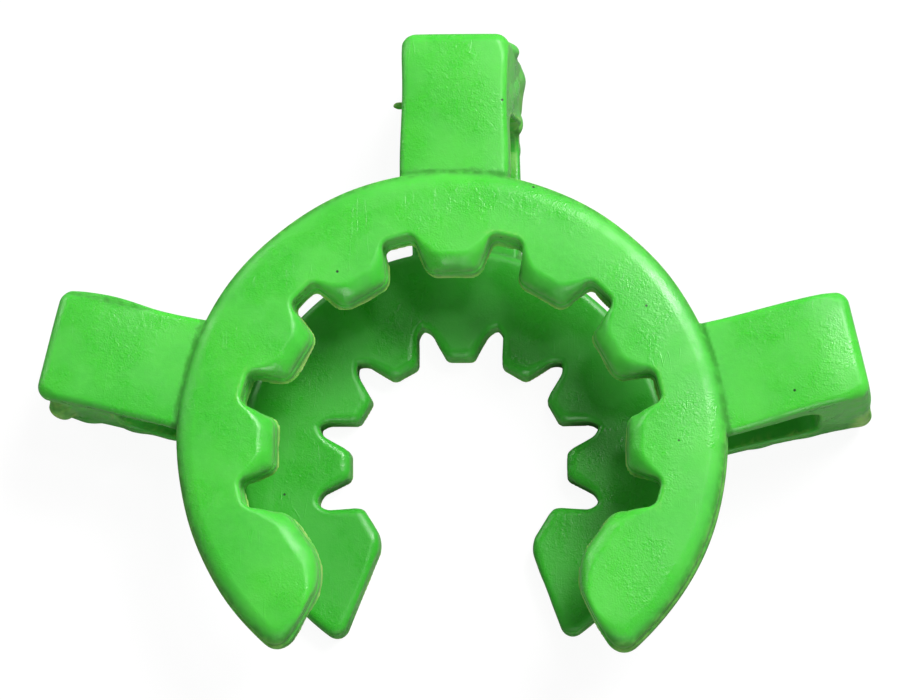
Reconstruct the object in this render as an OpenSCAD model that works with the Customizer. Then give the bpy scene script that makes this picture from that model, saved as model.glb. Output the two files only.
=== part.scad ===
// Clip for a tapered ground glass joint. One moulding: a wide toothed C-ring grips the
// socket, a narrow toothed C-ring grips the neck of the cone, and three hairpin bows
// spring the two rings together. The clip lies on the back of its narrow ring, with Z up
// the axis of the joint, and both mouths open towards -Y.

/* [Socket ring] */
// Radius across the tooth tips, which close on the socket
socket_grip_r = 14; // [11.5:0.5:15.5]
// Radius at the bottom of the gaps between the teeth
socket_root_r = 17.05; // [16.5:0.05:19]
// Outer radius of the ring
socket_outer_r = 22; // [20:0.5:27]
// Thickness of the ring
socket_t = 3.2; // [2.4:0.1:5]
// Width of a tooth at its tip
socket_tip_w = 4.1; // [2.5:0.1:5]
// Width of a tooth where it leaves the ring
socket_base_w = 6.3; // [5:0.1:7]
// Radius of the soft front edge outside
socket_crown_r = 1.4; // [0.4:0.1:1.8]
// Radius of the soft front edge on the tooth tips
socket_tip_edge_r = 1.2; // [0.2:0.1:1.4]

/* [Tube ring] */
// Radius across the tooth tips, which close on the tube
tube_grip_r = 8.8; // [7.4:0.1:10.4]
// Radius at the bottom of the gaps between the teeth
tube_root_r = 12.2; // [11.5:0.1:13.5]
// Outer radius of the ring
tube_outer_r = 17.5; // [15.5:0.5:21]
// Thickness of the ring
tube_t = 2.4; // [1.8:0.1:4]
// Width of a tooth at its tip
tube_tip_w = 2.3; // [1.5:0.1:3]
// Width of a tooth where it leaves the ring
tube_base_w = 5.3; // [4:0.1:5.4]
// Radius of the soft edges of the ring
tube_edge_r = 0.3; // [0.1:0.05:0.8]

/* [Rim] */
// How far the outer rims stand off the axis, away from the mouths, for a stronger back
rim_rise = 0.2; // [0:0.1:1]

/* [Teeth] */
// Teeth on each ring, not counting the jaws beside the mouth
tooth_count = 7; // [5:2:7]
// Angle from one tooth to the next
tooth_pitch = 30; // [28:1:31]
// Angle of clear gap between the socket ring's last tooth and its jaw
socket_jaw_gap = 7.5; // [5:0.5:9]
// Angle of clear gap between the tube ring's last tooth and its jaw
tube_jaw_gap = 5.6; // [4.6:0.2:8]

/* [Mouth] */
// Angle from the middle of the mouth to the tip of a socket ring jaw
socket_mouth_in = 44; // [42:1:52]
// Angle from the middle of the mouth to the outside of a socket ring jaw
socket_mouth_out = 36; // [30:0.5:42]
// Angle from the middle of the mouth to the tip of a tube ring jaw
tube_mouth_in = 43.5; // [40:0.5:52]
// Angle from the middle of the mouth to the outside of a tube ring jaw
tube_mouth_out = 31.5; // [27:0.5:40]

/* [Bows] */
// Open height between the two rings, which takes the rims of the joint
ring_gap = 6.9; // [4.5:0.1:10]
// How far the middle bow stands out past the socket ring
middle_bow_out = 11.8; // [8:0.2:15]
// How far a side bow stands out past the socket ring
side_bow_out = 11.4; // [8:0.2:15]
// Width of a bow at its front face
bow_w = 8.8; // [6:0.2:11]
// Thickness of the web that joins the two legs at the outer end
bow_web_t = 5.6; // [3.5:0.1:7]
// Step from the front of the ring down to the front of the bow
bow_step = 0.4; // [0.2:0.1:0.8]
// Angle from the middle bow to each side bow
bow_spread = 77.2; // [60:0.4:80]
// Height of a side bow's centre line above the centre of the rings, towards the middle bow
side_bow_rise = 0.8; // [0:0.1:2]

/* [Hidden] */
$fn = 96;

CLIP_COLOR = [0.36, 0.86, 0.30];
// Flats in each rounded corner
ARC_STEPS = 5;
// Outlines stand this far past the turned faces that trim them
TRIM = 0.05;
MOUTH_ANGLE = 270;
BOW_ANGLE = 90;
// Angle that a jaw's back edge stands off from where the next tooth would have it
JAW_LEAN = 1.5;

clip_h = tube_t + ring_gap + socket_t;
socket_z = tube_t + ring_gap;

// A ring's sizes in one list, read by the names below
GRIP_R = 0;
ROOT_R = 1;
OUTER_R = 2;
TIP_W = 3;
BASE_W = 4;
JAW_GAP = 5;
MOUTH_IN = 6;
MOUTH_OUT = 7;
// Corner radii in plan: tooth tip, gap bottom, outside and mouth corner of the jaw
TIP_SOFT = 8;
GAP_SOFT = 9;
JAW_SOFT = 10;
MOUTH_SOFT = 11;
socket_ring = [socket_grip_r, socket_root_r, socket_outer_r, socket_tip_w, socket_base_w,
    socket_jaw_gap, socket_mouth_in, socket_mouth_out, 0.6, 0.5, 2, 2];
tube_ring = [tube_grip_r, tube_root_r, tube_outer_r, tube_tip_w, tube_base_w,
    tube_jaw_gap, tube_mouth_in, tube_mouth_out, 0.35, 0.55, 1.2, 0.9];

function polar(r, a) = [r * cos(a), r * sin(a)];
function unit(v) = v / norm(v);
function rim_point(r, a) = [0, rim_rise] + polar(r, a);
function half_angle(width, r) = asin(width / 2 / r);

// Corner p between a and b as an arc of radius r, or of what its two sides leave room for
function corner(a, p, b, r) =
    let (u = unit(a - p), v = unit(b - p), half = acos(u * v) / 2,
         run = min(r / tan(half), 0.48 * min(norm(a - p), norm(b - p))),
         arc_r = run * tan(half), middle = p + unit(u + v) * arc_r / sin(half),
         from = p + u * run - middle, start = atan2(from.y, from.x),
         side = u.x * v.y - u.y * v.x > 0 ? 1 : -1, sweep = side * (180 - 2 * half))
    [for (i = [0:ARC_STEPS]) middle + polar(arc_r, start - sweep * i / ARC_STEPS)];

// An outline from corners given as [point, radius]
function rounded(corners) =
    let (n = len(corners))
    [for (i = [0:n - 1])
        let (p = corners[i][0], r = corners[i][1])
        each r == 0 ? [p] : corner(corners[(i + n - 1) % n][0], p, corners[(i + 1) % n][0], r)];

function mirrored(corners) =
    [for (i = [len(corners) - 1:-1:0]) [[-corners[i][0].x, corners[i][0].y], corners[i][1]]];

// Base, tip, tip and base of the tooth at an angle, walking clockwise
function tooth(ring, angle) =
    let (tip = half_angle(ring[TIP_W], ring[GRIP_R]), base = half_angle(ring[BASE_W], ring[ROOT_R]),
         tip_r = ring[GRIP_R] - TRIM)
    [[polar(ring[ROOT_R], angle + base), ring[GAP_SOFT]], [polar(tip_r, angle + tip), ring[TIP_SOFT]],
     [polar(tip_r, angle - tip), ring[TIP_SOFT]], [polar(ring[ROOT_R], angle - base), ring[GAP_SOFT]]];

// Outside corner, end, tip and base of the jaw on the left of the mouth
function jaw(ring) =
    let (last = BOW_ANGLE + (tooth_count - 1) / 2 * tooth_pitch,
         base = last + half_angle(ring[BASE_W], ring[ROOT_R]) + ring[JAW_GAP],
         tip = last + tooth_pitch - half_angle(ring[TIP_W], ring[GRIP_R]) + JAW_LEAN,
         outside = MOUTH_ANGLE - ring[MOUTH_OUT])
    [[rim_point(ring[OUTER_R] + 12 * TRIM, outside - 12), 0],
     [rim_point(ring[OUTER_R] + TRIM, outside), ring[JAW_SOFT]],
     [polar(ring[GRIP_R] - TRIM, MOUTH_ANGLE - ring[MOUTH_IN]), ring[MOUTH_SOFT]],
     [polar(ring[GRIP_R] - TRIM, tip), ring[TIP_SOFT]],
     [polar(ring[ROOT_R], base), ring[GAP_SOFT]]];

// The C of a ring seen from above: round the outside, in at one jaw, back along the teeth
function ring_outline(ring) =
    let (reach = 180 - ring[MOUTH_OUT] - 20, side = (tooth_count - 1) / 2)
    rounded(concat(
        [for (a = [-reach:reach / 8:reach]) [rim_point(ring[OUTER_R] + 1, BOW_ANGLE + a), 0]],
        jaw(ring),
        [for (i = [side:-1:-side]) each tooth(ring, BOW_ANGLE + i * tooth_pitch)],
        mirrored(jaw(ring))));

// Half of a ring's section. Its corner radii go inner back, outer back, outer front, inner front
module ring_section(inner_r, outer_r, t, edges) {
    polygon(rounded([
        [[inner_r, 0], edges[0]], [[outer_r, 0], edges[1]],
        [[outer_r, t], edges[2]], [[inner_r, t], edges[3]]]));
}

// The outline trimmed to true round faces: the bore about the axis, and the rim about its
// own centre
module toothed_ring(ring, t, edges) {
    past_rim = ring[OUTER_R] + rim_rise + 1;
    intersection() {
        translate([0, 0, -1]) linear_extrude(t + 2) polygon(ring_outline(ring));
        rotate_extrude() ring_section(ring[GRIP_R], past_rim, t, [edges[0], 0, 0, edges[3]]);
        translate([0, rim_rise, 0]) rotate_extrude()
            ring_section(0, ring[OUTER_R], t, [0, edges[1], edges[2], 0]);
    }
}

module socket_ring_body() {
    back_edge = 0.25;
    translate([0, 0, socket_z]) toothed_ring(socket_ring, socket_t,
        [back_edge, back_edge, socket_crown_r, socket_tip_edge_r]);
}

module tube_ring_body() {
    toothed_ring(tube_ring, tube_t, [tube_edge_r, tube_edge_r, tube_edge_r, tube_edge_r]);
}

// A bow lies along +X. Its hairpin is drawn in X and Z, its sides in Y and Z, and its
// rounded outer corners in X and Y, and it is what the three have in common.
module bow(out) {
    end_r = socket_outer_r + out;
    root = 1.5;
    lift = 0.3;
    bulge = 0.6;
    side_lean = 0.2;
    back_narrow = 0.1;
    // Corner radii: outer end at the front and back, slot, and outer corners seen from above
    front_soft = 0.7;
    back_soft = 1.2;
    slot_soft = 1.6;
    plan_soft = 0.9;
    // The web is fullest at this height, and the slot leans outwards towards the front
    bulge_z = 0.58 * clip_h;
    slot_lean = 0.4;
    front = clip_h - bow_step;
    slot_r = end_r - bow_web_t;
    from = tube_outer_r - root;

    hairpin = [
        [[socket_outer_r - root, front], 0], [[end_r, front], front_soft],
        [[end_r + bulge, bulge_z], 2], [[end_r, lift], back_soft],
        [[from, lift], 0], [[from, tube_t - lift], 0],
        [[slot_r, tube_t], slot_soft], [[slot_r + slot_lean, socket_z], slot_soft],
        [[socket_outer_r - root, socket_z], 0]];
    half_w = bow_w / 2;
    sides = [
        [[-half_w, front], 0.5], [[-half_w - side_lean, socket_z], 1],
        [[-half_w + back_narrow, lift], 0.4], [[half_w - back_narrow, lift], 0.4],
        [[half_w + side_lean, socket_z], 1], [[half_w, front], 0.5]];
    plan = [
        [[from - 1, -bow_w], 0], [[end_r - 2, -bow_w], 0],
        [[end_r - 1.6, -half_w - side_lean], plan_soft], [[end_r + bulge, 1.2 - half_w], plan_soft],
        [[end_r + bulge, half_w - 1.2], plan_soft], [[end_r - 1.6, half_w + side_lean], plan_soft],
        [[end_r - 2, bow_w], 0], [[from - 1, bow_w], 0]];

    intersection() {
        rotate([90, 0, 0]) linear_extrude(2 * bow_w, center = true) polygon(rounded(hairpin));
        rotate([90, 0, 90]) linear_extrude(end_r + 5) polygon(rounded(sides));
        translate([0, 0, -1]) linear_extrude(clip_h + 2) polygon(rounded(plan));
    }
}

module clip() {
    color(CLIP_COLOR) union() {
        socket_ring_body();
        tube_ring_body();
        rotate(BOW_ANGLE) bow(middle_bow_out);
        for (turn = [-bow_spread, bow_spread])
            translate([0, side_bow_rise, 0]) rotate(BOW_ANGLE + turn) bow(side_bow_out);
    }
}

clip();
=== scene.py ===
"""Clip for a tapered ground glass joint: one moulding of springy green plastic.

The moulding is described as a solid by its distance functions: two toothed C-rings, held
apart by three hairpin bows, with the soft edges, the flash and the slight waviness that
the mould leaves. Its skin is meshed once, and one plastic material covers it. Sizes are in
millimetres, and the finished mesh is in metres.
"""

import math

import bpy
import numpy as np
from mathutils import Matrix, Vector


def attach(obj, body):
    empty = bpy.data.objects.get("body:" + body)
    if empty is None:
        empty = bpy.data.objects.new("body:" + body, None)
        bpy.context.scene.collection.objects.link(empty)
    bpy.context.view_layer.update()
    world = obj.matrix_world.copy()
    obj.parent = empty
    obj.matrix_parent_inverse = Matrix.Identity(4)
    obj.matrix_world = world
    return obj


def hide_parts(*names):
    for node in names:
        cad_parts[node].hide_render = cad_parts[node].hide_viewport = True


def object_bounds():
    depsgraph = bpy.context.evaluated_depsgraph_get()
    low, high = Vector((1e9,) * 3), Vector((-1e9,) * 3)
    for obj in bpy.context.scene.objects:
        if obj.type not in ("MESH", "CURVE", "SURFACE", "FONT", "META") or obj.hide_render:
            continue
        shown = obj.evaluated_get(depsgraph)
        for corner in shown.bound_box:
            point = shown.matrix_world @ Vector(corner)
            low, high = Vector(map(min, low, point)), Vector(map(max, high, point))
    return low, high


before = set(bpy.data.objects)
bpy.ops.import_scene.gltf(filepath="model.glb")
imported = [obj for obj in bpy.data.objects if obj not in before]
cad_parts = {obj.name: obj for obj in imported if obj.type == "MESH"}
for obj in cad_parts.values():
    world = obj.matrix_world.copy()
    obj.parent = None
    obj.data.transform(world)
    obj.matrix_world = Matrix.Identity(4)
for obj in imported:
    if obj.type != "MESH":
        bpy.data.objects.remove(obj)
cad_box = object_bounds()

MM = 0.001
MOULDING_SEED = 24

# The skin waves by about 0.02 mm. It is drawn in by 2.8 times that, which is more than seven
# crossing waves can add up to, so no wave stands out past the stated sizes.
WAVE_HEIGHT = 0.02
WAVE_COUNT = 7
WAVE_LENGTH = 9.0
DRAWN_IN = 2.8

# Back and front of the clip, and how thick its narrow and its wide ring are
CLIP_LOW = cad_box[0].z / MM
CLIP_HIGH = cad_box[1].z / MM
TUBE_T = 2.4
SOCKET_T = 3.2

# Both rings carry seven teeth, counted 0 to 3 from the middle one to each side
TOOTH_PITCH = math.radians(30)
LAST_TOOTH = 3
JAW_LEAN = math.radians(1.5)

# By what share the front edge of a tooth's tip is stretched over its end
TIP_SPREAD = 0.15

# The rim of each ring stands a little off the axis of its bore, so the wall opposite the
# mouth is the thickest. Oval is how far the rim leaves a circle. The mouth angles count from
# -Y, at the jaws' tips and at their outside corners. Values that end in soft round a corner
# of the outline, and those that end in edge round the edge of a face. Crown is the soft front
# edge of the rim, as its width and height, and dome is how far the front falls from the
# gaps between the teeth to the rim. The ledge and the flash are at the back of the ring.
SOCKET_RING = {
    "grip_r": 14.0, "root_r": 17.05, "outer_r": 22.1, "rim_shift": (-0.05, 0.26), "oval": 0.13,
    "low": CLIP_HIGH - SOCKET_T, "high": CLIP_HIGH,
    "tip_w": 4.1, "base_w": 6.3, "jaw_gap": math.radians(7.5), "mouth_shift": 0.0, "bore_shift": 0.0,
    "mouth_in": math.radians(43.5), "mouth_out": math.radians(37), "jaw_reach": 0.0,
    "tip_soft": 0.6, "gap_soft": 0.5, "mouth_tip_soft": 2.0, "mouth_end_soft": 2.0,
    "tip_edge": 1.55, "gap_edge": 0.42, "crown": (1.8, 1.0), "dome": 0.42, "back_edge": 0.15,
    "ledge": 0.1, "flash": 0.16, "rim_flash": 0.22,
}
TUBE_RING = {
    "grip_r": 8.8, "root_r": 11.9, "outer_r": 17.65, "rim_shift": (-0.5, 0.42), "oval": 0.0,
    "low": CLIP_LOW, "high": CLIP_LOW + TUBE_T,
    "tip_w": 2.3, "base_w": 5.3, "jaw_gap": math.radians(5.6), "mouth_shift": -0.2, "bore_shift": -0.12,
    "mouth_in": math.radians(42.3), "mouth_out": math.radians(31.5), "jaw_reach": 0.3,
    "tip_soft": 0.35, "gap_soft": 0.85, "mouth_tip_soft": 0.9, "mouth_end_soft": 1.4,
    "tip_edge": 0.8, "gap_edge": 0.6, "crown": (0.8, 0.6), "dome": 0.0, "back_edge": 0.2,
    "ledge": 0.0, "flash": 0.05, "rim_flash": 0.05,
}

# A bow points away from the rings: turn is its angle from +Y towards +X, and rise is how
# far its centre line passes above the middle of the rings. The half widths of its front
# and its back leg, and how ragged the mould left it, are pairs: the side at -across, then
# the one at +across. Flare widens the front leg at +across towards the ring. Each scrap of
# flash has its place (outward, across, height), its half sizes, and how pale it is, 0 to 1.
SIDE_TURN = math.radians(77.2)
MIDDLE_BOW = {
    "turn": 0.0, "rise": 0.0, "end": 33.85, "bulge": 0.35, "slot_end": 27.7, "seed": 3,
    "front_w": (4.45, 4.4), "back_w": (4.3, 4.75), "flare": 0.0, "ragged": (0.05, 0.35),
    "flash": [
        ((28.9, -4.8, 7.5), (0.4, 0.75, 0.25), 0.5),
        ((28.4, 4.6, 3.4), (0.9, 0.5, 0.8), 0.3),
        ((31.8, 4.6, 2.8), (1.9, 0.35, 1.2), 0.3),
    ],
}
RIGHT_BOW = {
    "turn": SIDE_TURN, "rise": 0.62, "end": 33.15, "bulge": 0.3, "slot_end": 28.9, "seed": 6,
    "front_w": (4.52, 4.5), "back_w": (4.3, 4.7), "flare": 0.45, "ragged": (0.05, 0.08),
    "flash": [
        ((32.55, 4.4, 2.8), (0.9, 0.6, 2.0), 1.0),
    ],
}
LEFT_BOW = {
    "turn": -SIDE_TURN, "rise": 1.1, "end": 33.4, "bulge": 0.25, "slot_end": 27.5, "seed": 9,
    "front_w": (4.7, 4.42), "back_w": (4.15, 4.4), "flare": 0.0, "ragged": (0.12, 0.05),
    "flash": [
        ((32.6, -4.25, 4.2), (1.0, 0.7, 2.4), 1.0),
        ((29.2, 4.3, 11.0), (2.4, 0.4, 0.9), 0.0),
    ],
}
BOWS = (MIDDLE_BOW, RIGHT_BOW, LEFT_BOW)

# Both legs lie a little inside the faces of the rings. A front leg dips towards the wide
# ring, sags towards its sides and droops at its outer end. Swell is how uneven its width is.
BOW_FRONT = CLIP_HIGH - 0.4
BOW_BACK = CLIP_LOW + 0.3
BOW_DIP = 0.6
BOW_SAG = 0.22
BOW_DROOP = 0.3
DROOP_LENGTH = 4
BOW_SWELL = 0.06
BOW_FRONT_EDGE = 0.9
BOW_BACK_EDGE = 1.1
BOW_SIDE_EDGE = 0.6
BOW_CORNER_EXTRA = 0.6
BOW_FILLET = 0.05
FLASH_FILLET = 0.35

SLOT_HIGH = SOCKET_RING["low"] + 0.1
SLOT_LOW = TUBE_RING["high"] - 0.3
SLOT_CORNER = 1.6
SLOT_EDGE = 0.35

# Grid for meshing the skin, and what the finished mesh may hold
SKIN_STEP = 0.16
SKIN_TRIANGLES = 190000

# How far outside the skin plastic makes a crease, and how far inside it air makes a thin edge
CREASE_REACH = 0.4
THIN_REACH = 0.6

# Linear colours of the plastic
DULL_GREEN = (0.058, 0.50, 0.043, 1)
BRIGHT_GREEN = (0.078, 0.57, 0.050, 1)
MOTTLED_GREEN = (0.085, 0.62, 0.06, 1)
# Painted shade: the green of the back ring, where the wide ring shades it
BACK_SHADE_GREEN = (0.024, 0.34, 0.017, 1)
# Painted sheen: the paler green that the walls take, as if they reflected the room
WALL_SHEEN_GREEN = (0.2, 0.45, 0.155, 1)
FLASH_GREEN = (0.33, 0.62, 0.14, 1)
# Grime and painted shade in the creases
CREASE_DIRT_SHADE_GREEN = (0.02, 0.16, 0.012, 1)
SPECK_GREEN = (0.004, 0.03, 0.004, 1)
GRAIN_DEPTH = 0.034 * MM

# The lens looks down almost straight, from a little to the right and on the mouth's side,
# with its place in metres and its tilt in radians
LENS = 147.8
SENSOR_W = 36
EYE_PLACE = (24.689 * MM, -56.721 * MM, 300 * MM)
EYE_TILT = (0.2191, 0.0821, 0.0125)


# ---------------------------------------------------------------- soft solid arithmetic

def smooth_step(low, high, value):
    """0 below low, 1 above high, and an S between them."""
    t = np.clip((value - low) / (high - low), 0, 1)
    return t * t * (3 - 2 * t)


def shared(a, b, edge):
    """Distance to what two shapes share, with the edge between them rounded."""
    corner = np.hypot(np.maximum(a + edge, 0), np.maximum(b + edge, 0))
    return np.minimum(np.maximum(a, b), -edge) + corner


def joined(a, b, fillet):
    """Distance to two shapes together, with the inner corner between them filled."""
    corner = np.hypot(np.maximum(fillet - a, 0), np.maximum(fillet - b, 0))
    return np.maximum(np.minimum(a, b), fillet) - corner


def polar(radius, angle):
    """A point by its radius and its angle from +Y towards +X."""
    return radius * math.sin(angle), radius * math.cos(angle)


def beyond(x, y, start, end):
    """Distance beyond the line from start to end, on its right hand."""
    dx, dy = end[0] - start[0], end[1] - start[1]
    return (dy * (x - start[0]) - dx * (y - start[1])) / math.hypot(dx, dy)


def waviness(x, y, z, count, wavelength, seed):
    """A smooth seeded field, mostly between -1 and 1, made of crossing waves."""
    rng = np.random.default_rng(seed)
    total = 0
    for _ in range(count):
        direction = rng.normal(size=3)
        direction *= rng.uniform(0.7, 1.5) * 2 * math.pi / wavelength / np.linalg.norm(direction)
        phase = rng.uniform(0, 2 * math.pi)
        total = total + np.sin(direction[0] * x + direction[1] * y + direction[2] * z + phase)
    return total / math.sqrt(count)


# ---------------------------------------------------------------- the toothed C-rings

def tooth_plan(x, y, ring, tip_soft):
    """The nearest tooth seen from above, a wedge that runs on into the ring."""
    angle = np.arctan2(x, y)
    turn = np.clip(np.round(angle / TOOTH_PITCH), 0, LAST_TOOTH) * TOOTH_PITCH
    outward = x * np.sin(turn) + y * np.cos(turn)
    across = np.abs(x * np.cos(turn) - y * np.sin(turn))
    tip = (ring["tip_w"] / 2, ring["grip_r"])
    base = (ring["base_w"] / 2, math.sqrt(ring["root_r"] ** 2 - ring["base_w"] ** 2 / 4))
    flank = beyond(across, outward, tip, base)
    return shared(flank, ring["grip_r"] - outward, tip_soft)


def jaw_corners(ring):
    """Base, back tip, mouth tip and outside corner of the jaw on the +X side."""
    last = LAST_TOOTH * TOOTH_PITCH
    base = last + math.asin(ring["base_w"] / 2 / ring["root_r"]) + ring["jaw_gap"]
    tip = last + TOOTH_PITCH - math.asin(ring["tip_w"] / 2 / ring["grip_r"]) + JAW_LEAN
    return (
        polar(ring["root_r"], base), polar(ring["grip_r"] - ring["jaw_reach"], tip),
        polar(ring["grip_r"], math.pi - ring["mouth_in"]),
        polar(ring["outer_r"], math.pi - ring["mouth_out"]),
    )


def ring_plan(x, y, ring, tip_soft):
    """A C-ring seen from above: band, teeth and jaws, cut off at the mouth."""
    shift_x, shift_y = ring["rim_shift"]
    radius = np.hypot(x - shift_x, y - shift_y)
    beyond_rim = radius - ring["outer_r"] + 2 * ring["oval"] * x * y / (radius ** 2 + 1)
    # From here on both halves of the ring are made as the one at +X
    x = x - ring["bore_shift"]
    beside_mouth = np.abs(x - ring["mouth_shift"])
    x = np.abs(x)
    base, back_tip, mouth_tip, outside = jaw_corners(ring)
    jaw = shared(beyond(x, y, base, back_tip), beyond(x, y, back_tip, mouth_tip), tip_soft)
    teeth = tooth_plan(x, y, ring, tip_soft)
    toothed = joined(ring["root_r"] - np.hypot(x, y), teeth, ring["gap_soft"])
    toothed = joined(toothed, jaw, ring["gap_soft"])
    mouth = np.minimum(beyond(beside_mouth, y, mouth_tip, outside), -y)
    outwards = smooth_step(ring["grip_r"] + 1, ring["outer_r"] - 1, np.hypot(x, y))
    corner = ring["mouth_tip_soft"] + (ring["mouth_end_soft"] - ring["mouth_tip_soft"]) * outwards
    return shared(np.maximum(toothed, beyond_rim), mouth, corner)


def ring_distance(x, y, z, ring):
    """A C-ring with soft front edges, a ledge at the mould's joint and a lip of flash."""
    # The teeth have crisp corners at the back and pillow-shaped ones at the front
    plan = ring_plan(x, y, ring, ring["tip_soft"])
    towards_front = smooth_step(ring["low"] + 1.0, ring["high"] - 0.2, z)
    plan = plan + (ring_plan(x, y, ring, ring["tip_edge"]) - plan) * towards_front

    # The front edge is widest at the rim and at the teeth's tips, and tight in the gaps
    outside = smooth_step(ring["root_r"] + 0.5, ring["outer_r"] - 1.0, np.hypot(x, y))
    width, height = ring["crown"]
    at_tip = smooth_step(ring["root_r"], ring["grip_r"] + 0.6, np.hypot(x, y))
    lip_edge = ring["gap_edge"] + (ring["tip_edge"] - ring["gap_edge"]) * at_tip
    front_edge = lip_edge + (height - lip_edge) * outside
    stretch = 1 + (height / width - 1) * outside - TIP_SPREAD * at_tip
    across_band = np.clip((np.hypot(x, y) - ring["root_r"]) / (ring["outer_r"] - ring["root_r"]), 0, 1)
    front = ring["high"] - ring["dome"] * across_band ** 1.5

    # The two halves of the mould meet near the back, and leave a ledge and a ragged lip
    above_back = z - ring["low"]
    rim_flash = ring["rim_flash"] * smooth_step(8, -8, y) * outside
    ledge = (ring["ledge"] * (1 - outside) + rim_flash) * smooth_step(1.3, 1.05, above_back) - rim_flash
    ragged = 0.7 + 0.5 * waviness(x, y, 0 * z, 6, 2.5, MOULDING_SEED)
    flash = ring["flash"] * ragged * smooth_step(0.4, 0.1, above_back)
    body = shared(stretch * (plan - ledge - flash * (1 - outside)), z - front, front_edge)
    return shared(body, -above_back, ring["back_edge"])


# ---------------------------------------------------------------- the hairpin bows

def along_bow(x, y, bow):
    """Distance out along a bow, and distance across it."""
    sin, cos = math.sin(bow["turn"]), math.cos(bow["turn"])
    outward = x * sin + (y - bow["rise"]) * cos
    across = x * cos - (y - bow["rise"]) * sin
    return outward, across


def bow_distance(x, y, z, bow):
    """A hairpin: a front leg and a back leg, joined by a thick web at the outer end."""
    outward, across = along_bow(x, y, bow)
    depth = (BOW_FRONT - z) / (BOW_FRONT - BOW_BACK)

    # Seen from the side: the bulging end, the bent front and the flat back
    end = outward - bow["end"] - bow["bulge"] * np.sin(math.pi * np.clip(depth, 0, 1))
    front = BOW_FRONT - BOW_DIP * smooth_step(bow["end"] - 2, SOCKET_RING["outer_r"] - 1, outward)
    front = front - BOW_SAG * np.abs(across / bow["front_w"][1]) ** 3
    drooping = np.clip(outward - bow["end"] + DROOP_LENGTH, 0, DROOP_LENGTH)
    front = front - BOW_DROOP * drooping ** 2 / DROOP_LENGTH ** 2
    profile = shared(end, z - front, BOW_FRONT_EDGE)
    profile = shared(profile, BOW_BACK - z, BOW_BACK_EDGE)

    # Half width: its own value on each side and at front and back, and rougher to the back
    backward = smooth_step(0.1, 0.45, depth)
    side = (across > 0).astype(int)
    half_w = (1 - backward) * np.array(bow["front_w"])[side] + backward * np.array(bow["back_w"])[side]
    half_w = half_w + bow["flare"] * side * (1 - backward) * smooth_step(30, 22, outward)
    half_w = half_w + BOW_SWELL * waviness(outward, 0 * across, 0 * z, 4, 8.0, bow["seed"])
    rough_mould = np.maximum(waviness(outward, 0 * across, z, 6, 3.0, bow["seed"] + 1), 0)
    half_w = half_w + np.array(bow["ragged"])[side] * rough_mould * backward
    nearly_end = smooth_step(-2.2, -0.4, end)
    corner = BOW_SIDE_EDGE + BOW_CORNER_EXTRA * nearly_end * smooth_step(0.95, 0.6, depth)
    hairpin = shared(profile, np.abs(across) - half_w, corner)

    # The slot leaves the web at the outer end, and each leg starts inside its own ring
    slot = shared(outward - bow["slot_end"], z - SLOT_HIGH, SLOT_CORNER)
    slot = shared(slot, SLOT_LOW - z, SLOT_CORNER)
    hairpin = shared(hairpin, -slot, SLOT_EDGE)
    root = np.where(depth < 0.5, SOCKET_RING["outer_r"] - 3, TUBE_RING["outer_r"] - 2)
    return np.maximum(hairpin, root - outward)


def flash_blob(x, y, z, bow, place, reach):
    """Distance to a scrap of flash on a bow, from its place and its three half sizes."""
    outward, across = along_bow(x, y, bow)
    scaled = (
        (outward - place[0]) / reach[0], (across - place[1]) / reach[1], (z - place[2]) / reach[2],
    )
    return (np.sqrt(scaled[0] ** 2 + scaled[1] ** 2 + scaled[2] ** 2) - 1) * min(reach)


def clip_distance(x, y, z):
    """The whole moulding, in millimetres, negative inside the plastic."""
    clip = np.minimum(ring_distance(x, y, z, SOCKET_RING), ring_distance(x, y, z, TUBE_RING))
    for bow in BOWS:
        hairpin = bow_distance(x, y, z, bow)
        for place, reach, _ in bow["flash"]:
            hairpin = joined(hairpin, flash_blob(x, y, z, bow, place, reach), FLASH_FILLET)
        clip = joined(clip, hairpin, BOW_FILLET)
    waves = waviness(x, y, z, WAVE_COUNT, WAVE_LENGTH, MOULDING_SEED + 1)
    return clip + WAVE_HEIGHT * (DRAWN_IN + waves)


# ---------------------------------------------------------------- the skin of the solid

def crossings(field, cells):
    """The middle of the places where the skin crosses the 12 edges of each cell."""
    total = np.zeros((len(cells), 3))
    count = np.zeros((len(cells), 1))
    for axis in range(3):
        side_a, side_b = [a for a in range(3) if a != axis]
        for corner_a in (0, 1):
            for corner_b in (0, 1):
                start = cells.copy()
                start[:, side_a] += corner_a
                start[:, side_b] += corner_b
                end = start.copy()
                end[:, axis] += 1
                low, high = field[tuple(start.T)], field[tuple(end.T)]
                cut = (low < 0) != (high < 0)
                share = np.where(cut, low / np.where(cut, low - high, 1), 0)
                point = start.astype(float)
                point[:, axis] += share
                total += point * cut[:, None]
                count += cut[:, None]
    return total / count


def skin_quads(inside, number):
    """One quad across each grid edge that the skin crosses, wound to face outwards."""
    quads = []
    for axis in range(3):
        side_a, side_b = (axis + 1) % 3, (axis + 2) % 3
        low = np.moveaxis(inside, axis, 0)[:-1]
        high = np.moveaxis(inside, axis, 0)[1:]
        edges = np.argwhere(low != high)
        spots = np.empty_like(edges)
        spots[:, axis] = edges[:, 0]
        others = [a for a in range(3) if a != axis]
        spots[:, others[0]], spots[:, others[1]] = edges[:, 1], edges[:, 2]
        ring = []
        for step_a, step_b in ((0, 0), (1, 0), (1, 1), (0, 1)):
            cell = spots.copy()
            cell[:, side_a] -= step_a
            cell[:, side_b] -= step_b
            ring.append(number[tuple(cell.T)])
        ring = np.stack(ring, 1)
        leaving = low[low != high]
        quads.append(np.where(leaving[:, None], ring, ring[:, ::-1]))
    return np.concatenate(quads)


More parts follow.
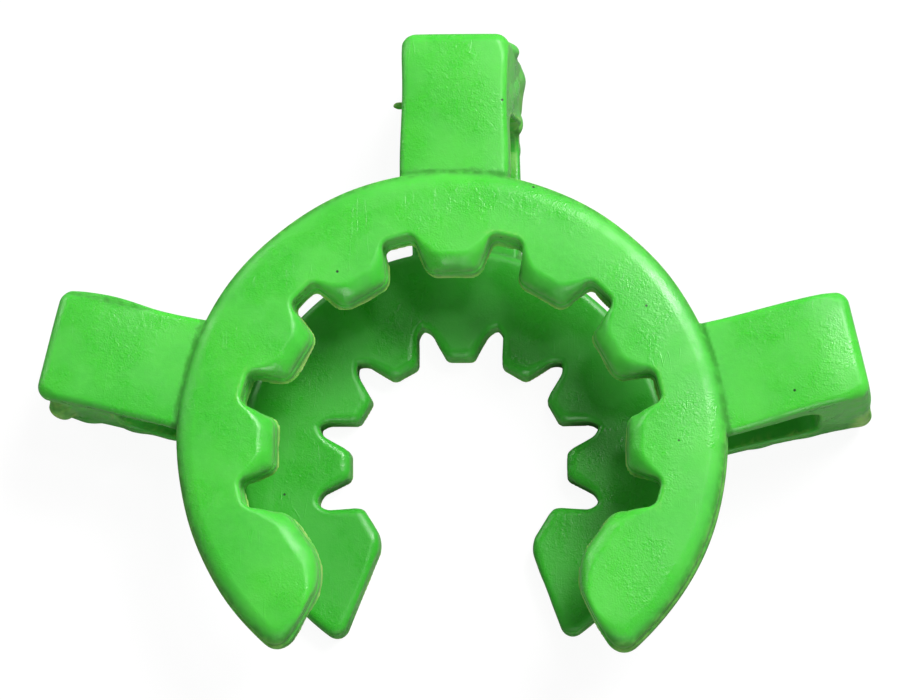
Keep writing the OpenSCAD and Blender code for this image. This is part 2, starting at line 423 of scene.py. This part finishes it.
def outward_slope(points):
    """Distance at each point, and its slope, which is the skin's normal."""
    reach = 0.02
    value = clip_distance(*points.T)
    slope = np.empty_like(points)
    for axis in range(3):
        step = np.zeros(3)
        step[axis] = reach
        ahead, behind = clip_distance(*(points + step).T), clip_distance(*(points - step).T)
        slope[:, axis] = (ahead - behind) / (2 * reach)
    return value, slope


def settled(points, rounds):
    """Points moved onto the skin, and the normals there."""
    for _ in range(rounds):
        value, slope = outward_slope(points)
        steepness = np.maximum((slope ** 2).sum(1), 0.2)
        move = slope * (value / steepness)[:, None]
        points = points - np.clip(move, -SKIN_STEP, SKIN_STEP)
    slope = outward_slope(points)[1]
    return points, slope / np.linalg.norm(slope, axis=1)[:, None]


def skin_mesh():
    """The moulding's skin as a closed mesh of small quads, in millimetres."""
    low = np.array(cad_box[0]) / MM - 2 * SKIN_STEP
    high = np.array(cad_box[1]) / MM + 2 * SKIN_STEP
    x, y, z = (np.arange(low[a], high[a] + SKIN_STEP, SKIN_STEP) for a in range(3))
    field = clip_distance(x[:, None, None], y[None, :, None], z[None, None, :])
    inside = field < 0
    # How many of each cell's eight corners lie in the plastic
    filled = sum(
        inside[i:i - 1 or None, j:j - 1 or None, k:k - 1 or None].astype(np.int8)
        for i in (0, 1) for j in (0, 1) for k in (0, 1)
    )
    cells = np.argwhere((filled > 0) & (filled < 8))
    number = np.full(filled.shape, -1)
    number[tuple(cells.T)] = np.arange(len(cells))
    points = low + crossings(field, cells) * SKIN_STEP
    points = settled(points, 1)[0]
    mesh = bpy.data.meshes.new("clip_skin")
    mesh.from_pydata(points.tolist(), [], skin_quads(inside, number).tolist())
    return mesh


def thinned(mesh):
    """The mesh with fewer triangles where the skin is flat."""
    moulding = bpy.data.objects.new("clip_moulding", mesh)
    bpy.context.scene.collection.objects.link(moulding)
    split = moulding.modifiers.new("split", "TRIANGULATE")
    split.quad_method = "SHORTEST_DIAGONAL"
    thin = moulding.modifiers.new("thin", "DECIMATE")
    thin.ratio = min(1.0, SKIN_TRIANGLES / (2 * len(mesh.polygons)))
    graph = bpy.context.evaluated_depsgraph_get()
    moulding.data = bpy.data.meshes.new_from_object(moulding.evaluated_get(graph))
    moulding.modifiers.clear()
    return moulding


def keep_value(mesh, name, values):
    """Store one number a vertex on the mesh, for the material to read."""
    mesh.attributes.new(name, "FLOAT", "POINT").data.foreach_set("value", values)


def moulded_clip():
    """The finished clip: thinned skin, settled again, with the true normals of the solid."""
    moulding = thinned(skin_mesh())
    mesh = moulding.data
    points = np.empty(len(mesh.vertices) * 3)
    mesh.vertices.foreach_get("co", points)
    points, normals = settled(points.reshape(-1, 3), 1)
    mesh.vertices.foreach_set("co", (points * MM).ravel())
    mesh.update()
    mesh.polygons.foreach_set("use_smooth", [True] * len(mesh.polygons))
    mesh.normals_split_custom_set_from_vertices(normals.tolist())
    # Creases: rougher, and darker from grime and painted shade
    open_side = clip_distance(*(points + CREASE_REACH * normals).T) / CREASE_REACH
    keep_value(mesh, "crease", smooth_step(0.98, 0.7, open_side))
    solid_side = -clip_distance(*(points - THIN_REACH * normals).T) / THIN_REACH
    thin = smooth_step(0.7, 0.25, solid_side)
    for bow in BOWS:
        for place, size, paleness in bow["flash"]:
            near = smooth_step(0.35, -0.1, flash_blob(*points.T, bow, place, size))
            thin = np.maximum(thin, paleness * near)
    keep_value(mesh, "thin_edge", thin)
    # The side walls, where the painted sheen goes
    keep_value(mesh, "wall", smooth_step(0.6, 0.15, np.abs(normals[:, 2])))
    return moulding


# ---------------------------------------------------------------- the plastic

def effect_group(name, inputs, outputs):
    """A new node group, with its sockets named, and its input and output nodes."""
    group = bpy.data.node_groups.new(name, "ShaderNodeTree")
    for label, kind in inputs:
        group.interface.new_socket(label, in_out="INPUT", socket_type=kind)
    for label, kind in outputs:
        group.interface.new_socket(label, in_out="OUTPUT", socket_type=kind)
    return group, group.nodes.new("NodeGroupInput"), group.nodes.new("NodeGroupOutput")


def feed(tree, socket, value):
    """Join a socket to another, or set it to a constant."""
    if isinstance(value, bpy.types.NodeSocket):
        tree.links.new(value, socket)
    else:
        socket.default_value = value


def calc(tree, operation, a, b=0.0):
    """A node for one sum; the result is kept between 0 and 1."""
    node = tree.nodes.new("ShaderNodeMath")
    node.operation = operation
    node.use_clamp = True
    feed(tree, node.inputs[0], a)
    feed(tree, node.inputs[1], b)
    return node.outputs[0]


def ramp(tree, value, low, high, out_low=0.0, out_high=1.0):
    """Stretch the span from low to high onto out_low to out_high."""
    node = tree.nodes.new("ShaderNodeMapRange")
    node.interpolation_type = "SMOOTHSTEP"
    spans = {"From Min": low, "From Max": high, "To Min": out_low, "To Max": out_high}
    for label, number in spans.items():
        feed(tree, node.inputs[label], number)
    feed(tree, node.inputs["Value"], value)
    return node.outputs["Result"]


def cloud(tree, where, size, detail=2.0):
    """Noise of 0 to 1 whose lumps are about size metres across."""
    node = tree.nodes.new("ShaderNodeTexNoise")
    feed(tree, node.inputs["Vector"], where)
    node.inputs["Scale"].default_value = 1 / size
    node.inputs["Detail"].default_value = detail
    return node.outputs["Fac"]


def blend(tree, share, first, second):
    """One colour changed to a second one by a share."""
    node = tree.nodes.new("ShaderNodeMix")
    node.data_type = "RGBA"
    # The colour mix has its share, first and second colour at inputs 0, 6 and 7
    feed(tree, node.inputs[0], share)
    feed(tree, node.inputs[6], first)
    feed(tree, node.inputs[7], second)
    return node.outputs[2]


def turned(tree, where, angles, scale):
    """Coordinates turned and stretched."""
    node = tree.nodes.new("ShaderNodeMapping")
    feed(tree, node.inputs["Vector"], where)
    node.inputs["Rotation"].default_value = angles
    node.inputs["Scale"].default_value = scale
    return node.outputs["Vector"]


def moulding_grain():
    """Fine orange peel in patches, as the skin of the plastic froze against the mould."""
    group, given, made = effect_group(
        "moulding_grain", [("Coordinates", "NodeSocketVector")],
        [("Height", "NodeSocketFloat"), ("Roughness", "NodeSocketFloat")],
    )
    where = given.outputs["Coordinates"]
    grain = cloud(group, where, 0.14 * MM, 2.0)
    dimples = ramp(group, cloud(group, where, 0.55 * MM, 1.0), 0.52, 0.7)
    patches = ramp(group, cloud(group, where, 4.5 * MM), 0.38, 0.62, 0.25, 1.0)
    peel = calc(group, "ADD", calc(group, "MULTIPLY", grain, 0.7), calc(group, "MULTIPLY", dimples, 0.3))
    group.links.new(calc(group, "MULTIPLY", peel, patches), made.inputs["Height"])
    worn = ramp(group, cloud(group, where, 1.6 * MM, 4.0), 0.35, 0.65, 0.0, 0.14)
    smooth = ramp(group, patches, 0.1, 1.0, 0.46, 0.24)
    group.links.new(calc(group, "ADD", smooth, worn), made.inputs["Roughness"])
    return group


def hairline_scratches():
    """Sparse thin scratches that all run one way."""
    group, given, made = effect_group(
        "hairline_scratches", [("Coordinates", "NodeSocketVector")], [("Mask", "NodeSocketFloat")],
    )
    where = given.outputs["Coordinates"]
    drawn = turned(group, where, (0, 0, math.radians(-28)), (1, 0.07, 0.3))
    fold = calc(group, "ABSOLUTE", ramp(group, cloud(group, drawn, 1.1 * MM, 1.0), 0.5, 0.516))
    fold = calc(group, "MULTIPLY", fold, calc(group, "SUBTRACT", 1.0, fold))
    places = ramp(group, cloud(group, where, 3.0 * MM), 0.52, 0.64)
    line = calc(group, "MULTIPLY", fold, 4.0)
    group.links.new(calc(group, "MULTIPLY", line, places), made.inputs["Mask"])
    return group


def dark_specks():
    """A few specks of grime and burnt plastic."""
    group, given, made = effect_group(
        "dark_specks", [("Coordinates", "NodeSocketVector")], [("Mask", "NodeSocketFloat")],
    )
    spots = group.nodes.new("ShaderNodeTexVoronoi")
    group.links.new(given.outputs["Coordinates"], spots.inputs["Vector"])
    spots.inputs["Scale"].default_value = 1 / (1.3 * MM)
    split = group.nodes.new("ShaderNodeSeparateColor")
    group.links.new(spots.outputs["Color"], split.inputs["Color"])
    chosen = ramp(group, split.outputs["Red"], 0.93, 0.95)
    dot = ramp(group, spots.outputs["Distance"], 0.11, 0.06)
    group.links.new(calc(group, "MULTIPLY", chosen, dot), made.inputs["Mask"])
    return group


def plastic_tint():
    """Green plastic: paler in thin flash, with a painted sheen on its walls, darker in creases from
    grime and painted shade, and with painted shade at the back.
    """
    group, given, made = effect_group(
        "plastic_tint",
        [("Coordinates", "NodeSocketVector"), ("Thin Edge", "NodeSocketFloat"),
         ("Crease", "NodeSocketFloat"), ("Wall", "NodeSocketFloat"),
         ("Specks", "NodeSocketFloat")],
        [("Color", "NodeSocketColor")],
    )
    where = given.outputs["Coordinates"]
    uneven = ramp(group, cloud(group, where, 7 * MM, 4.0), 0.3, 0.7)
    color = blend(group, uneven, DULL_GREEN, BRIGHT_GREEN)
    mottle = ramp(group, cloud(group, where, 0.5 * MM, 3.0), 0.35, 0.7, 0.0, 0.25)
    color = blend(group, mottle, color, MOTTLED_GREEN)
    height = group.nodes.new("ShaderNodeSeparateXYZ")
    group.links.new(where, height.inputs["Vector"])
    # Painted shade: darker towards the back, where the wide ring shades the narrow one
    painted_back_shade = ramp(group, height.outputs["Z"], 7 * MM, 2.5 * MM, 0.0, 0.7)
    color = blend(group, painted_back_shade, color, BACK_SHADE_GREEN)
    # Painted sheen: the walls made paler, as if they reflected the white room
    painted_wall_sheen = calc(group, "MULTIPLY", given.outputs["Wall"], ramp(
        group, cloud(group, where, 0.45 * MM, 4.0), 0.3, 0.7, 0.2, 0.65))
    color = blend(group, painted_wall_sheen, color, WALL_SHEEN_GREEN)
    pale = calc(group, "MULTIPLY", given.outputs["Thin Edge"], ramp(
        group, cloud(group, where, 1.5 * MM), 0.3, 0.6, 0.25, 1.0))
    color = blend(group, pale, color, FLASH_GREEN)
    # Creases made darker: partly grime, partly painted shade
    crease_dirt_and_shade = calc(group, "MULTIPLY", given.outputs["Crease"], ramp(
        group, cloud(group, where, 0.8 * MM), 0.35, 0.6, 0.35, 0.65))
    color = blend(group, crease_dirt_and_shade, color, CREASE_DIRT_SHADE_GREEN)
    color = blend(group, given.outputs["Specks"], color, SPECK_GREEN)
    group.links.new(color, made.inputs["Color"])
    return group


def use_group(tree, group, **given):
    """Put a group into a material and feed its inputs by name."""
    node = tree.nodes.new("ShaderNodeGroup")
    node.node_tree = group
    for label, value in given.items():
        feed(tree, node.inputs[label.replace("_", " ")], value)
    return node.outputs


def green_plastic():
    """The clip's own material: soft green plastic with grain, scratches, specks, a painted sheen on its
    walls, and painted shade.
    """
    material = bpy.data.materials.new("clip_green_plastic")
    material.use_nodes = True
    tree = material.node_tree
    shader = tree.nodes["Principled BSDF"]
    where = tree.nodes.new("ShaderNodeTexCoord").outputs["Object"]
    kept = {}
    for name in ("thin_edge", "crease", "wall"):
        reader = tree.nodes.new("ShaderNodeAttribute")
        reader.attribute_name = name
        kept[name] = reader.outputs["Fac"]
    grain = use_group(tree, moulding_grain(), Coordinates=where)
    scratches = use_group(tree, hairline_scratches(), Coordinates=where)
    specks = use_group(tree, dark_specks(), Coordinates=where)
    tint = use_group(
        tree, plastic_tint(), Coordinates=where, Thin_Edge=kept["thin_edge"],
        Crease=kept["crease"], Wall=kept["wall"], Specks=specks["Mask"],
    )
    tree.links.new(tint["Color"], shader.inputs["Base Color"])
    worn = calc(tree, "SUBTRACT", grain["Roughness"], calc(tree, "MULTIPLY", scratches["Mask"], 0.12))
    dull = calc(tree, "ADD", worn, calc(tree, "MULTIPLY", kept["crease"], 0.5))
    tree.links.new(dull, shader.inputs["Roughness"])
    bump = tree.nodes.new("ShaderNodeBump")
    bump.inputs["Strength"].default_value = 1.0
    bump.inputs["Distance"].default_value = GRAIN_DEPTH
    height = calc(tree, "ADD", grain["Height"], calc(tree, "MULTIPLY", scratches["Mask"], 0.25))
    tree.links.new(height, bump.inputs["Height"])
    tree.links.new(bump.outputs["Normal"], shader.inputs["Normal"])
    shader.inputs["IOR"].default_value = 1.48
    shader.inputs["Subsurface Weight"].default_value = 0.7
    shader.inputs["Subsurface Radius"].default_value = (0.5, 1.0, 0.25)
    shader.inputs["Subsurface Scale"].default_value = 0.8 * MM
    return material


# ---------------------------------------------------------------- floor, light and camera

def pale_floor():
    """A large pale floor. It sends little light back up, so the clip's flanks stay dark."""
    reach, low = 3.0, cad_box[0].z
    mesh = bpy.data.meshes.new("floor")
    corners = [(-reach, -reach, low), (reach, -reach, low), (reach, reach, low), (-reach, reach, low)]
    mesh.from_pydata(corners, [], [(0, 1, 2, 3)])
    floor = bpy.data.objects.new("floor", mesh)
    bpy.context.scene.collection.objects.link(floor)
    material = bpy.data.materials.new("pale_floor")
    material.use_nodes = True
    tree = material.node_tree
    seen = tree.nodes["Principled BSDF"]
    seen.inputs["Base Color"].default_value = (0.1, 0.1, 0.1, 1)
    seen.inputs["Roughness"].default_value = 0.9
    seen.inputs["Specular IOR Level"].default_value = 0.0
    seen.inputs["Emission Color"].default_value = (1, 1, 1, 1)
    seen.inputs["Emission Strength"].default_value = 0.93
    bounced = tree.nodes.new("ShaderNodeBsdfDiffuse")
    bounced.inputs["Color"].default_value = (0.18, 0.18, 0.18, 1)
    path = tree.nodes.new("ShaderNodeLightPath")
    mix = tree.nodes.new("ShaderNodeMixShader")
    tree.links.new(path.outputs["Is Camera Ray"], mix.inputs["Fac"])
    tree.links.new(bounced.outputs["BSDF"], mix.inputs[1])
    tree.links.new(seen.outputs["BSDF"], mix.inputs[2])
    tree.links.new(mix.outputs["Shader"], tree.nodes["Material Output"].inputs["Surface"])
    mesh.materials.append(material)
    return floor


def soft_light(name, place, width, power):
    """A square area light that faces the clip, in metres and watts."""
    data = bpy.data.lights.new(name, "AREA")
    data.shape = "SQUARE"
    data.size = width
    data.energy = power
    lamp = bpy.data.objects.new(name, data)
    lamp.location = place
    aim = -lamp.location
    lamp.rotation_euler = aim.to_track_quat("-Z", "Y").to_euler()
    bpy.context.scene.collection.objects.link(lamp)


def studio():
    """A dim room, a broad key, a small lamp for the gloss, and weak light from two sides."""
    world = bpy.data.worlds.new("soft_room")
    world.use_nodes = True
    room = world.node_tree.nodes["Background"]
    room.inputs["Color"].default_value = (1, 1, 1, 1)
    room.inputs["Strength"].default_value = 0.1
    bpy.context.scene.world = world
    soft_light("key", (0.27, 0.32, 0.42), 0.3, 5.0)
    soft_light("sheen", (0.11, 0.09, 0.45), 0.05, 0.2)
    soft_light("fill", (0.05, -0.5, 0.14), 0.3, 1.2)
    soft_light("rim", (-0.42, 0.3, 0.14), 0.3, 1.0)
    bpy.context.scene.view_settings.view_transform = "Standard"


def camera():
    """The one camera, with everything in focus."""
    data = bpy.data.cameras.new("camera")
    data.sensor_width = SENSOR_W
    data.lens = LENS
    data.clip_start = 0.01
    data.clip_end = 10
    eye = bpy.data.objects.new("camera", data)
    eye.location = EYE_PLACE
    eye.rotation_euler = EYE_TILT
    bpy.context.scene.collection.objects.link(eye)
    bpy.context.scene.camera = eye


camera()
studio()
pale_floor()

clip = moulded_clip()
clip.data.materials.append(green_plastic())
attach(clip, "root")
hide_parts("clip")
